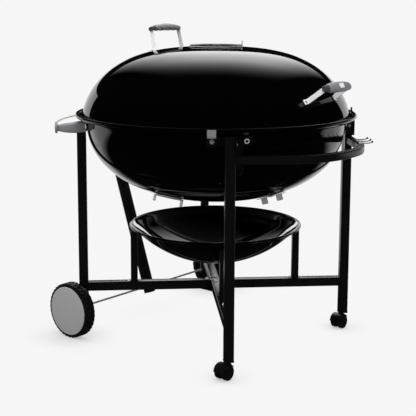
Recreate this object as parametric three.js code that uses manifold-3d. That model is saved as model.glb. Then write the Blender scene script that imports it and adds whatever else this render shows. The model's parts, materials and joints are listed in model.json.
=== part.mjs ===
// Kettle charcoal grill on a four-legged trolley.
// Millimetres, +Z up. X runs from the lid-holder side (-X) to the work-rail side (+X), Y from front to back.
import * as THREE from 'three';
import { mergeVertices } from 'three/addons/utils/BufferGeometryUtils.js';
import Module from 'manifold-3d';

const wasm = await Module();
wasm.setup();

// ---- driving dimensions -------------------------------------------------------------------------
const GAP = 0.3; // air between two pieces that touch
const SHIFT_X = 7.9; // centres the overall width on the origin
const FACETS = 36; // facets round the kettle

const RIM_R = 500; // outer radius of the rolled bowl rim
const BEAD_R = 6.5; // radius of that roll
const BEAD_Z = 802.5;
const BOWL_R = 460; // bowl wall
const BOWL_TOP = 780;
const BOWL_DEPTH = 280;
const SHELL = 2.4; // enamelled sheet

const LID_R = 475;
const LID_BASE = 785;
const LID_RISE = 255;
const LID_SKIRT = 13.5; // degrees short of the full quarter curve

const LEG_R = 478.3; // radius of the leg centres
const TUBE = 32.5; // square tube of legs, beams and prop
const TUBE_WALL = 2;
const LEG_TOP = 780;
const GRIP_LEG_TOP = 772; // legs that end inside a grip are shorter
const LEG_FOOT = 57; // caster legs
const AXLE_LEG_FOOT = 83; // wheel legs
const BEAM_Z = 175;

const AXLE_R = 4;
const AXLE_X = -338;
const AXLE_Z = 99;
const AXLE_HALF = 417;
const WHEEL_R = 99;
const WHEEL_W = 37;
const WHEEL_Y = 418.5; // outer face of the tyre
const LUGS = 36;
const HUBCAP_R = 87.5;

const WIRE_R = 3; // lid-holder wire
const WIRE_ARC_R = 568;
const WIRE_Z = 770;

const RAIL_W = 25; // work rail, square tube
const RAIL_H = 26;
const RAIL_Z = 708;

const PAN_RIM_R = 311;
const PAN_R = 295;
const PAN_TOP = 400;
const PAN_DEPTH = 140;
const PAN_SHELL = 2;
const POST_R = 295.5; // radius of the pan post centres
const POST_W = 25;
const POST_TOP = 381.4;

const GRATE_Z = 772;
const GRATE_R = 452;
const GRATE_ROD = 6;
const HINGE_X = 250;
const COAL_Z = 592;
const COAL_R = 338;

const VENT_R = 250; // bowl vents: radius of their centres
const VENT_DISC_R = 52;
const VENT_HOLE_R = 12;
const LID_VENT_R = 93.5;

const CASTER_R = 25;
const CASTER_TRAIL = 22;

const CORNERS = { fl: -135, fr: -45, br: 45, bl: 135 };

// ---- materials ----------------------------------------------------------------------------------
function paint(color, roughness, metalness) {
  return new THREE.MeshStandardMaterial({ color, roughness, metalness });
}
const ENAMEL = paint(0x08080a, 0.12, 0.0);
const SATIN = paint(0x1c1c1e, 0.42, 0.1);
const STAINLESS = paint(0xd6d6d8, 0.28, 1.0);
const PLATED = paint(0xb4b6b8, 0.34, 1.0);
const ALUMINIUM = paint(0xbfc1c3, 0.4, 1.0);
const NYLON = paint(0x5c5d60, 0.55, 0.0);
const BLACK_NYLON = paint(0x161617, 0.5, 0.0);
const TYRE = paint(0x1a1a1b, 0.75, 0.0);
const HUB = paint(0xc9cacb, 0.35, 0.2);

// ---- solids -------------------------------------------------------------------------------------
const rad = (degrees) => THREE.MathUtils.degToRad(degrees);

// Shared vertices, no slivers, faces out.
function clean(source) {
  const loose = source.index ? source.toNonIndexed() : source.clone();
  loose.deleteAttribute('normal');
  loose.deleteAttribute('uv');
  const merged = mergeVertices(loose, 1e-4);
  const position = merged.attributes.position;
  const index = merged.index.array;
  const kept = [];
  let volume = 0;
  const a = new THREE.Vector3();
  const b = new THREE.Vector3();
  const c = new THREE.Vector3();
  for (let i = 0; i < index.length; i += 3) {
    const [p, q, r] = [index[i], index[i + 1], index[i + 2]];
    if (p === q || q === r || r === p) continue;
    kept.push(p, q, r);
    a.fromBufferAttribute(position, p);
    b.fromBufferAttribute(position, q);
    c.fromBufferAttribute(position, r);
    volume += a.dot(b.cross(c));
  }
  if (volume < 0) kept.reverse();
  merged.setIndex(kept);
  return merged;
}

function solid(geometry) {
  const g = clean(geometry);
  const vertProperties = new Float32Array(g.attributes.position.array);
  const triVerts = new Uint32Array(g.index.array);
  return new wasm.Manifold(new wasm.Mesh({ numProp: 3, vertProperties, triVerts }));
}

function skin(body) {
  const mesh = body.getMesh();
  const g = new THREE.BufferGeometry();
  const count = mesh.vertProperties.length / mesh.numProp;
  const xyz = new Float32Array(count * 3);
  for (let i = 0; i < count; i += 1) {
    for (let k = 0; k < 3; k += 1) xyz[3 * i + k] = mesh.vertProperties[mesh.numProp * i + k];
  }
  g.setAttribute('position', new THREE.BufferAttribute(xyz, 3));
  g.setIndex(Array.from(mesh.triVerts));
  return g;
}

function join(...geometries) {
  return skin(geometries.map(solid).reduce((whole, next) => whole.add(next)));
}

function cut(geometry, ...tools) {
  return skin(tools.map(solid).reduce((whole, tool) => whole.subtract(tool), solid(geometry)));
}

function common(geometry, other) {
  return skin(solid(geometry).intersect(solid(other)));
}

function box(x0, x1, y0, y1, z0, z1) {
  const g = new THREE.BoxGeometry(x1 - x0, y1 - y0, z1 - z0);
  return g.translate((x0 + x1) / 2, (y0 + y1) / 2, (z0 + z1) / 2);
}

// Solid of revolution about Z from [radius, height] pairs.
function turn(profile, segments = FACETS) {
  const points = profile.map(([r, z]) => new THREE.Vector2(r, z));
  const first = points[0];
  const last = points[points.length - 1];
  if (first.x > 1e-6 || last.x > 1e-6) points.push(first.clone());
  return new THREE.LatheGeometry(points, segments).rotateX(Math.PI / 2);
}

function rod(radius, z0, z1, segments = 12) {
  return turn([[0, z0], [radius, z0], [radius, z1], [0, z1]], segments);
}

function roundedSquare(size, corner, Kind) {
  const h = size / 2;
  const path = new Kind();
  path.moveTo(-h + corner, -h);
  path.lineTo(h - corner, -h);
  path.absarc(h - corner, -h + corner, corner, -Math.PI / 2, 0, false);
  path.lineTo(h, h - corner);
  path.absarc(h - corner, h - corner, corner, 0, Math.PI / 2, false);
  path.lineTo(-h + corner, h);
  path.absarc(-h + corner, h - corner, corner, Math.PI / 2, Math.PI, false);
  path.lineTo(-h, -h + corner);
  path.absarc(-h + corner, -h + corner, corner, Math.PI, Math.PI * 1.5, false);
  return path;
}

// Square tube standing on Z, open at both ends.
function squareTube(size, wall, z0, z1) {
  const shape = roundedSquare(size, 2.4, THREE.Shape);
  const h = size / 2 - wall;
  const square = [[-h, -h], [-h, h], [h, h], [h, -h]];
  shape.holes.push(new THREE.Path(square.map(([x, y]) => new THREE.Vector2(x, y))));
  const settings = { depth: z1 - z0, bevelEnabled: false, curveSegments: 1 };
  return new THREE.ExtrudeGeometry(shape, settings).translate(0, 0, z0);
}

function plateXZ(points, y0, y1) {
  const shape = new THREE.Shape(points.map(([x, z]) => new THREE.Vector2(x, z)));
  const g = new THREE.ExtrudeGeometry(shape, { depth: y1 - y0, bevelEnabled: false });
  return g.rotateX(Math.PI / 2).translate(0, y1, 0);
}

function plateXY(points, z0, z1) {
  const shape = new THREE.Shape(points.map(([x, y]) => new THREE.Vector2(x, y)));
  return new THREE.ExtrudeGeometry(shape, { depth: z1 - z0, bevelEnabled: false }).translate(0, 0, z0);
}

function sweep(curve, shape, steps) {
  const settings = { steps, bevelEnabled: false, extrudePath: curve, curveSegments: 8 };
  return new THREE.ExtrudeGeometry(shape, settings);
}

function disc(radius, segments) {
  const shape = new THREE.Shape();
  for (let i = 0; i < segments; i += 1) {
    const t = (2 * Math.PI * i) / segments;
    if (i === 0) shape.moveTo(radius, 0);
    else shape.lineTo(radius * Math.cos(t), radius * Math.sin(t));
  }
  shape.closePath();
  return shape;
}

const roll = (cx, cz, r, from, to, steps) => {
  const points = [];
  for (let i = 0; i <= steps; i += 1) {
    const t = rad(from + ((to - from) * i) / steps);
    points.push([cx + r * Math.cos(t), cz + r * Math.sin(t)]);
  }
  return points;
};

// Quarter of a superellipse from the axis outwards: a = 0 on the axis, 90 at the mouth.
function quarter(radius, rise, p, q, z0, a1, steps) {
  const points = [[0, z0 + rise]];
  for (let i = 1; i <= steps; i += 1) {
    const a = rad((a1 * i) / steps);
    points.push([radius * Math.sin(a) ** (2 / p), z0 + rise * Math.max(Math.cos(a), 0) ** (2 / q)]);
  }
  return points;
}

const lidCurve = (off, steps, a1) => quarter(LID_R + off, LID_RISE + off, 2.87, 1.82, LID_BASE, a1, steps);
const bowlCurve = (off, steps) => quarter(BOWL_R + off, -(BOWL_DEPTH + off), 2.3, 2.13, BOWL_TOP, 90, steps);

// Height and outward normal of the lid's outside at a plan point.
function lidAt(x, y) {
  const height = (r) => {
    const c = Math.acos(Math.min(1, (r / LID_R) ** (2.87 / 2)));
    return LID_BASE + LID_RISE * Math.sin(c) ** (2 / 1.82);
  };
  const r = Math.hypot(x, y);
  const slope = (height(r + 0.5) - height(r - 0.5)) / 1;
  const normal = new THREE.Vector3((-slope * x) / r, (-slope * y) / r, 1).normalize();
  return { point: new THREE.Vector3(x, y, height(r)), normal };
}

function frameAt(point, xAxis, yAxis, zAxis) {
  return new THREE.Matrix4().makeBasis(xAxis, yAxis, zAxis).setPosition(point);
}

// ---- scene graph --------------------------------------------------------------------------------
const grill = new THREE.Group();
grill.position.x = SHIFT_X;

function add(name, geometry, material, parent = grill) {
  const g = clean(geometry);
  g.computeVertexNormals();
  const mesh = new THREE.Mesh(g, material);
  mesh.name = name;
  parent.add(mesh);
  return mesh;
}

// One turned group per corner: local +X points outwards along the radius, local +Y along the rim.
const corner = {};
for (const [name, angle] of Object.entries(CORNERS)) {
  corner[name] = new THREE.Group();
  corner[name].rotation.z = rad(angle);
  grill.add(corner[name]);
}
const cornerTurn = (name) => new THREE.Matrix4().makeRotationZ(rad(CORNERS[name]));
const intoCorner = (geometry, name) => geometry.applyMatrix4(cornerTurn(name).invert());

// ---- bowl ---------------------------------------------------------------------------------------
const bowlOuter = bowlCurve(0, 8);
const bowlInner = bowlCurve(-SHELL, 7).map(([r, z]) => [r, z + (z > 779.9 ? 2 : 0)]);
const beadX = RIM_R - BEAD_R;
const flareOut = [[461, 786.5], [466, 788.8], [486.4, 789.6]];
const flareIn = [[484, 792], [465, 791.2], [458.6, 788]];
let bowlShell = turn([
  ...bowlOuter,
  ...flareOut,
  ...roll(beadX, BEAD_Z, BEAD_R, -75, 165, 5),
  ...flareIn,
  ...bowlInner.reverse(),
]);

// Direction pointing out of the bowl at a vent, and the group each vent turns in.
const ventTilt = 19;
const ventZ = 534.8;
function ventGroupMatrix(angle) {
  const turnZ = new THREE.Matrix4().makeRotationZ(rad(angle));
  const lean = new THREE.Matrix4().makeRotationY(rad(180 - ventTilt));
  const place = new THREE.Matrix4().makeTranslation(VENT_R, 0, ventZ);
  return turnZ.multiply(place).multiply(lean);
}
const VENTS = { right: 0, back: 90, left: 180, front: 270 };
const TAB_AT = { right: 20, back: 90, left: 90, front: 30 }; // how each damper stands, degrees
const ventPorts = (z0, z1) => [30, 150, 270].map((angle) => {
  const port = rod(VENT_HOLE_R, z0, z1, 8).translate(28, 0, 0);
  return port.rotateZ(rad(angle));
});
for (const angle of Object.values(VENTS)) {
  const holes = ventPorts(-30, 20).map((port) => port.applyMatrix4(ventGroupMatrix(angle)));
  bowlShell = cut(bowlShell, ...holes);
}
add('bowl', bowlShell, ENAMEL);

// Air-control dampers below the bowl: a disc with three matching ports and two turned-down finger tabs.
for (const [name, angle] of Object.entries(VENTS)) {
  const ports = ventPorts(-5, 9);
  const plate = cut(rod(VENT_DISC_R, 0.6, 2.8, 20), ...ports);
  const tab = () => box(VENT_DISC_R - 4, VENT_DISC_R - 1.6, -12, 12, 1, 24);
  const tabs = [0, 180].map((t) => tab().rotateZ(rad(t + TAB_AT[name])));
  const blade = join(plate, ...tabs, rod(7, 1, 5.5, 8));
  const mesh = add(`bowl_damper_${name}`, blade, ALUMINIUM);
  mesh.applyMatrix4(ventGroupMatrix(angle));
}

// ---- lid ----------------------------------------------------------------------------------------
const lidOuter = lidCurve(0, 8, 90 - LID_SKIRT / 4.6);
const lidInner = lidCurve(-SHELL, 7, 90 - LID_SKIRT / 4.6);
let lidShell = turn([
  ...lidOuter,
  [474.6, 797.6],
  [478, 796.4],
  ...roll(481.3, 795, 2.7, 80, -90, 3),
  [475, 793.2],
  [472.2, 796],
  ...lidInner.reverse(),
]);
const lidPorts = () => [45, 135, 225, 315].map((angle) => {
  const port = rod(18, 1000, 1060, 8).translate(56, 0, 0);
  return port.rotateZ(rad(angle));
});
lidShell = cut(lidShell, ...lidPorts());
add('lid', lidShell, ENAMEL);
const lidBlock = turn([...lidCurve(GAP, 24, 89.5), [LID_R + GAP, 700], [0, 700]], FACETS);

// Lid damper: a dished disc with four ports, a raised rim, a centre rivet and one finger tab.
const damperDisc = turn([
  [0, 1040.6], [LID_VENT_R, 1040.6], [LID_VENT_R, 1046], [LID_VENT_R - 3.5, 1046], [LID_VENT_R - 6, 1043],
  [14, 1043], [10, 1047], [0, 1047],
], 24);
const damperTab = box(LID_VENT_R - 3.4, LID_VENT_R - 0.4, -9, 9, 1042, 1063).rotateZ(rad(41));
add('lid_damper', join(cut(damperDisc, ...lidPorts()), damperTab), ALUMINIUM);

// Carrying handle: two bent flat straps and a finger-shaped grip between them.
const STRAP_Y = 80;
const STRAP_T = 2.6;
const STRAP_W = 17;
function lidHandle(name, footX, reach) {
  const side = Math.sign(footX);
  const seat = lidAt(footX, 0);
  const yAxis = new THREE.Vector3(0, 1, 0);
  const xAxis = yAxis.clone().cross(seat.normal).normalize();
  const place = frameAt(seat.point, xAxis, yAxis, seat.normal);
  for (const s of [-1, 1]) {
    const half = STRAP_W / 2;
    const y0 = Math.min(s * STRAP_Y, s * (STRAP_Y + STRAP_T));
    const y1 = Math.max(s * STRAP_Y, s * (STRAP_Y + STRAP_T));
    const upright = box(-half, half, y0, y1, -14, reach);
    const eye = rod(half, y0, y1, 16).rotateX(-Math.PI / 2).translate(0, 0, reach);
    const head = rod(5, STRAP_Y + STRAP_T - 1, STRAP_Y + STRAP_T + 3, 8);
    head.rotateX((-s * Math.PI) / 2).translate(0, 0, reach);
    const foot = lidAt(footX + side * 0.5, s * (STRAP_Y + 11));
    const footX1 = yAxis.clone().cross(foot.normal).normalize();
    const footY = foot.normal.clone().cross(footX1).normalize();
    const pad = box(-half, half, -12, 12, -3, STRAP_T + GAP);
    const bolt = rod(5.5, 1, 6.5, 8);
    const base = join(pad, bolt).applyMatrix4(frameAt(foot.point, footX1, footY, foot.normal));
    const strap = join(join(upright, eye, head).applyMatrix4(place), base);
    add(`${name}_strap_${s < 0 ? 'front' : 'back'}`, cut(strap, lidBlock), STAINLESS);
  }
  const profile = [[0, -STRAP_Y + GAP], [8.6, -STRAP_Y + GAP], [10.2, -STRAP_Y + 3]];
  for (let i = 0; i <= 8; i += 1) {
    const u = -1 + i / 4;
    profile.push([11.6 - 0.9 * (i % 2), u * (STRAP_Y - 9)]);
  }
  profile.push([10.2, STRAP_Y - 3], [8.6, STRAP_Y - GAP], [0, STRAP_Y - GAP]);
  const grip = turn(profile, 10).rotateX(-Math.PI / 2).translate(0, 0, reach).applyMatrix4(place);
  add(`${name}_grip`, grip, NYLON);
}
lidHandle('top_handle', -230, 84);
lidHandle('side_handle', 446, 76);

// ---- legs, beams and prop -----------------------------------------------------------------------
const axleDrill = () => rod(AXLE_R + 0.4, -450, 450, 12).rotateX(-Math.PI / 2).translate(AXLE_X, 0, AXLE_Z);
for (const name of Object.keys(CORNERS)) {
  const wheeled = name.endsWith('l');
  const foot = wheeled ? AXLE_LEG_FOOT : LEG_FOOT;
  const top = wheeled ? GRIP_LEG_TOP : LEG_TOP;
  let leg = squareTube(TUBE, TUBE_WALL, foot, top).translate(LEG_R, 0, 0);
  if (wheeled) leg = cut(leg, intoCorner(axleDrill(), name));
  add(`leg_${name}`, leg, SATIN, corner[name]);
}
const legFace = LEG_R - TUBE / 2; // the face of a leg that looks at the kettle
const layAlongX = (g) => g.rotateY(Math.PI / 2).translate(0, 0, BEAM_Z);
add('beam_cross', layAlongX(squareTube(TUBE, TUBE_WALL, -legFace + GAP, legFace - GAP)), SATIN, corner.br);
add('beam_front', layAlongX(squareTube(TUBE, TUBE_WALL, TUBE / 2 + GAP, legFace - GAP)), SATIN, corner.fr);
add('beam_back', layAlongX(squareTube(TUBE, TUBE_WALL, TUBE / 2 + GAP, legFace - GAP)), SATIN, corner.bl);
const beamBottom = BEAM_Z - TUBE / 2;
add('gusset_plate', box(-40, 40, -40, 40, beamBottom - GAP - 3, beamBottom - GAP), SATIN);

// The prop leans outwards from the axle to the middle of the lid-holder wire.
const propTop = new THREE.Vector3(-WIRE_ARC_R, 0, WIRE_Z);
const propFoot = new THREE.Vector3(AXLE_X, 0, AXLE_Z);
const propLean = Math.atan2(propTop.x - propFoot.x, propTop.z - propFoot.z);
const propLength = propTop.distanceTo(propFoot);
const propTube = squareTube(TUBE, TUBE_WALL, -25, propLength + 22).rotateY(propLean);
propTube.translate(propFoot.x, 0, propFoot.z);
const wireCurve = (from, to) => {
  const points = [];
  for (let i = 0; i <= 28; i += 1) {
    const t = rad(from + ((to - from) * i) / 28);
    points.push(new THREE.Vector3(WIRE_ARC_R * Math.cos(t), WIRE_ARC_R * Math.sin(t), WIRE_Z));
  }
  return new THREE.CatmullRomCurve3(points);
};
const wireDrill = rod(WIRE_R + 0.6, -40, 40, 12).rotateX(-Math.PI / 2).translate(-WIRE_ARC_R, 0, WIRE_Z);
const propTrim = box(-700, -500, -40, 40, WIRE_Z + 8, WIRE_Z + 80);
const propBack = box(-700, -WIRE_ARC_R - 6.5, -40, 40, WIRE_Z - 60, WIRE_Z + 80);
add('prop_tube', cut(propTube, axleDrill(), wireDrill, propTrim, propBack), SATIN);

const WIRE_END = 135.9;
add('lid_holder_wire', sweep(wireCurve(WIRE_END, 360 - WIRE_END), disc(WIRE_R, 6), 28), PLATED);

// Moulded grip that caps each wheel-side leg and carries one end of the lid-holder wire.
for (const name of ['fl', 'bl']) {
  const outline = [
    [legFace, 739], [490, 737], [532, 737.5], [550, 741], [564, 744.5],
    [564, 764], [552, 766.5], [532, 769], [503, 771.5], [490, 776], [legFace, 777],
  ];
  const plan = [
    [legFace - 1, -20.5], [505, -20.5], [532, -17], [552, -9], [566, -9],
    [566, 9], [552, 9], [532, 17], [505, 20.5], [legFace - 1, 20.5],
  ];
  const body = common(plateXZ(outline, -30, 30), plateXY(plan, 730, 790));
  const flange = rod(20, 562, 568.5 + WIRE_R, 16).rotateY(Math.PI / 2).translate(0, 0, 756);
  const h = TUBE / 2 + GAP;
  const socket = box(LEG_R - h, LEG_R + h, -h, h, 700, GRIP_LEG_TOP + GAP);
  const wireHole = rod(WIRE_R + GAP, -30, 30, 12).rotateX(-Math.PI / 2).translate(WIRE_ARC_R, 0, WIRE_Z);
  add(`lid_holder_grip_${name}`, cut(join(body, flange), socket, wireHole), NYLON, corner[name]);
}

// ---- bowl brackets ------------------------------------------------------------------------------
// A thin steel band hugs the bowl behind each leg, with a bolt head on either side.
const bandIn = BOWL_R + GAP;
const bandOut = legFace - GAP;
for (const name of Object.keys(CORNERS)) {
  const ring = turn([[bandIn, 750], [bandOut, 750], [bandOut, 778], [bandIn, 778]], FACETS * 2);
  const sector = plateXY([[300, -42], [520, -72], [520, 72], [300, 42]], 740, 785);
  const heads = [-6.8, 6.8].map((t) => rod(8.5, bandIn + 0.5, bandOut + 5, 12)
    .rotateY(Math.PI / 2).translate(0, 0, 765).rotateZ(rad(t)));
  add(`bowl_bracket_${name}`, join(common(ring, sector), ...heads), SATIN, corner[name]);
}

// Plated keeper that hooks round the rim beside the front leg.
const keeper = join(
  plateXZ([[bandOut + 5.3, 752], [bandOut + 7.3, 752], [bandOut + 7.3, 775], [503.7, 780], [503.7, 806],
    [501.5, 806], [501.5, 782], [bandOut + 5.3, 777]], -14, 14),
  rod(6, bandOut + 6, bandOut + 12, 6).rotateY(Math.PI / 2).translate(0, 0, 765),
);
add('rim_keeper', keeper.rotateZ(rad(-6.8)), PLATED, corner.fr);

// ---- work rail ----------------------------------------------------------------------------------
const railPlan = [[350, 326.5], [427, 250], [492, 181], [534, 100]];
const railPoints = [
  ...railPlan.map(([x, y]) => new THREE.Vector3(x, -y, RAIL_Z)),
  new THREE.Vector3(546, 0, RAIL_Z),
  ...railPlan.reverse().map(([x, y]) => new THREE.Vector3(x, y, RAIL_Z)),
];
const leadIn = new THREE.Vector3(350 - 21.2, -326.5 - 21.2, RAIL_Z);
const leadOut = new THREE.Vector3(350 - 21.2, 326.5 + 21.2, RAIL_Z);
const railCurve = new THREE.CatmullRomCurve3([leadIn, ...railPoints, leadOut], false, 'centripetal');
const railSection = (w, h) => {
  const s = new THREE.Shape();
  s.moveTo(-w / 2, -h / 2);
  s.lineTo(w / 2, -h / 2);
  s.lineTo(w / 2, h / 2);
  s.lineTo(-w / 2, h / 2);
  s.closePath();
  return s;
};
const legBlock = (name) => {
  const h = TUBE / 2 + GAP;
  return box(300, 620, -60, h, 600, 790).applyMatrix4(cornerTurn(name));
};
const legBlockBack = box(300, 620, -(TUBE / 2 + GAP), 60, 600, 790).applyMatrix4(cornerTurn('br'));
const railBody = sweep(railCurve, railSection(RAIL_H, RAIL_W), 32);
add('work_rail', cut(railBody, legBlock('fr'), legBlockBack), SATIN);

// Angle plates that tie the rail's ends to the caster legs.
for (const [name, s] of [['fr', 1], ['br', -1]]) {
  const plate = box(legFace, legFace + 2.6, TUBE / 2 + GAP, 43, 656, 776);
  const flange = box(legFace, 502, TUBE / 2 + GAP, TUBE / 2 + GAP + 2.6, RAIL_Z + RAIL_H / 2 + 1, 776);
  const hole = rod(4.5, legFace - 5, legFace + 8, 12).rotateY(Math.PI / 2).translate(0, 33, 672);
  const angle = cut(join(plate, flange), hole);
  if (s < 0) angle.scale(1, -1, 1);
  add(`rail_plate_${name}`, angle, SATIN, corner[name]);
}

// Tool pegs: a strip along the rail's top with three pegs that turn up at the tip.
const railTop = RAIL_Z + RAIL_H / 2 + GAP;
const pegPieces = [];
const PEG_AT = [0.725, 0.78, 0.835]; // shares of the rail's length
const STRIP_FROM = 0.71;
const STRIP_LENGTH = 0.14;
for (let i = 0; i < 4; i += 1) {
  const p = railCurve.getPointAt(STRIP_FROM + STRIP_LENGTH * (i / 4));
  const q = railCurve.getPointAt(STRIP_FROM + STRIP_LENGTH * ((i + 1) / 4));
  const length = p.distanceTo(q);
  const strip = box(-1.5, length + 1.5, -5, 5, railTop, railTop + 2.4);
  strip.rotateZ(Math.atan2(q.y - p.y, q.x - p.x)).translate(p.x, p.y, 0);
  pegPieces.push(strip);
}
for (const at of PEG_AT) {
  const p = railCurve.getPointAt(at);
  const tangent = railCurve.getTangentAt(at);
  const out = new THREE.Vector3(tangent.y, -tangent.x, 0).normalize();
  const z = railTop + 2.6;
  const spine = new THREE.CatmullRomCurve3([
    new THREE.Vector3(p.x, p.y, z),
    new THREE.Vector3(p.x + 20 * out.x, p.y + 20 * out.y, z),
    new THREE.Vector3(p.x + 32 * out.x, p.y + 32 * out.y, z + 1.5),
    new THREE.Vector3(p.x + 38 * out.x, p.y + 38 * out.y, z + 6),
  ]);
  pegPieces.push(sweep(spine, disc(2.3, 6), 5));
}
add('tool_pegs', join(...pegPieces), PLATED);

// ---- ash pan and its posts ----------------------------------------------------------------------
const panA = 76;
const panOuter = quarter(PAN_R, -PAN_DEPTH, 1.87, 1.27, PAN_TOP, panA, 7);
const panInner = quarter(PAN_R - PAN_SHELL, -(PAN_DEPTH - PAN_SHELL), 1.87, 1.27, PAN_TOP, panA, 6);
add('ash_pan', turn([
  ...panOuter,
  [303.9, 396.6],
  ...roll(PAN_RIM_R - 3.6, 399, 3.6, -50, 170, 3),
  [302.6, 398.8],
  ...panInner.reverse(),
], 32), ENAMEL);
for (const name of Object.keys(CORNERS)) {
  const post = squareTube(POST_W, 1.8, BEAM_Z + TUBE / 2 + GAP, POST_TOP).translate(POST_R, 0, 0);
  add(`pan_post_${name}`, post, SATIN, corner[name]);
}

// ---- grates -------------------------------------------------------------------------------------
// Round-wire grates drawn with square rods: a ring, parallel rods and cross rods.
const ringRod = (radius, z, segments) => {
  const h = GRATE_ROD / 2;
  const [r0, r1] = [radius - h, radius + h];
  return turn([[r0, z - h], [r1, z - h], [r1, z + h], [r0, z + h]], segments);
};
function barY(x, half, z, size) {
  const h = size / 2;
  return box(x - h, x + h, -half, half, z - h, z + h);
}
function barX(x0, x1, y, z, size) {
  const h = size / 2;
  return box(x0, x1, y - h, y + h, z - h, z + h);
}
const chord = (radius, x) => Math.sqrt(radius * radius - x * x);

function coalGrate() {
  const pieces = [ringRod(COAL_R, COAL_Z, 28)];
  for (let i = -5; i <= 5; i += 1) pieces.push(barY(i * 56, chord(COAL_R, i * 56) - 1, COAL_Z, 5));
  const reach = chord(COAL_R, 140) - 1;
  for (const y of [-140, 140]) pieces.push(barX(-reach, reach, y, COAL_Z - 4, 5));
  return join(...pieces);
}
add('charcoal_grate', coalGrate(), PLATED);

const inner = HINGE_X - 6;
const middle = [common(ringRod(GRATE_R, GRATE_Z, 36), box(-inner, inner, -480, 480, 700, 800))];
for (let i = -6; i <= 6; i += 1) {
  const x = i * ((inner - 3) / 6);
  middle.push(barY(x, chord(GRATE_R, x) - 1, GRATE_Z, i === -6 || i === 6 ? 6 : 5));
}
for (const y of [-230, 0, 230]) middle.push(barX(-inner + 1, inner - 1, y, GRATE_Z - 4, 5));
add('cooking_grate', join(...middle), PLATED);

for (const [name, s] of [['left', -1], ['right', 1]]) {
  const outerEdge = HINGE_X + 4;
  const wing = [common(ringRod(GRATE_R, GRATE_Z, 36), box(outerEdge, 480, -480, 480, 700, 800))];
  for (let i = 0; i < 5; i += 1) {
    const x = HINGE_X + 7 + 39 * i;
    wing.push(barY(x, chord(GRATE_R, x) - 1, GRATE_Z, i === 0 ? 6 : 5));
  }
  for (const y of [-160, 160]) wing.push(barX(outerEdge + 1, chord(GRATE_R, y) - 1, y, GRATE_Z - 4, 5));
  const flap = join(...wing);
  if (s < 0) flap.scale(-1, 1, 1);
  add(`grate_flap_${name}`, flap, PLATED);
}

// Three ledges inside the bowl that carry the cooking grate.
for (const [name, angle] of [['a', 93.75], ['b', 206.25], ['c', 333.75]]) {
  const ledge = join(box(436, 452.6, -10, 10, 764, 766.8), box(447.4, 450, -10, 10, 748, 765));
  const mesh = add(`grate_ledge_${name}`, ledge, PLATED);
  mesh.rotation.z = rad(angle);
}

// ---- axle and wheels ----------------------------------------------------------------------------
const shaft = rod(AXLE_R, -AXLE_HALF, AXLE_HALF, 12).rotateX(-Math.PI / 2);
add('axle', shaft.translate(AXLE_X, 0, AXLE_Z), PLATED);

// Moulded wheel: lugged tread, web and hub. u runs from the outer face towards the leg.
function lugRing() {
  const shape = new THREE.Shape();
  const step = 360 / LUGS;
  const tip = 2.0;
  const peak = WHEEL_R / Math.cos(rad(tip));
  const valley = WHEEL_R - 2.2;
  for (let i = 0; i < LUGS; i += 1) {
    const centre = -90 + i * step;
    for (const [r, t] of [[valley, -2.8], [peak, -tip], [peak, tip], [valley, 2.8]]) {
      const a = rad(centre + t);
      if (i === 0 && t === -2.8) shape.moveTo(r * Math.cos(a), r * Math.sin(a));
      else shape.lineTo(r * Math.cos(a), r * Math.sin(a));
    }
  }
  shape.closePath();
  const bore = new THREE.Path();
  bore.absarc(0, 0, 80, 0, 2 * Math.PI, true);
  shape.holes.push(bore);
  return new THREE.ExtrudeGeometry(shape, { depth: WHEEL_W, bevelEnabled: false, curveSegments: 12 });
}
for (const [name, s] of [['fl', -1], ['bl', 1]]) {
  const hub = turn([[4.3, 4], [14, 4], [14, 14], [82, 14], [82, 19.5], [16, 19.5], [14, 55], [4.3, 55]], 16);
  // local Z is the axle direction; the outer face looks away from the kettle
  const wheel = join(lugRing(), hub);
  const cap = turn([
    [0, -6], [50, -5.2], [79, -3.4], [HUBCAP_R, -GAP], [79, -GAP], [69, -2.2], [12, -3.6],
    [9, 3.7], [4.3, 3.7], [4.3, -2], [0, -2],
  ], 22);
  for (const [part, g, m] of [['wheel', wheel, TYRE], ['hubcap', cap, HUB]]) {
    const mesh = add(`${part}_${name}`, g, m);
    mesh.rotation.x = (s * Math.PI) / 2;
    mesh.position.set(AXLE_X, s * WHEEL_Y, AXLE_Z);
  }
}

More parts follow.
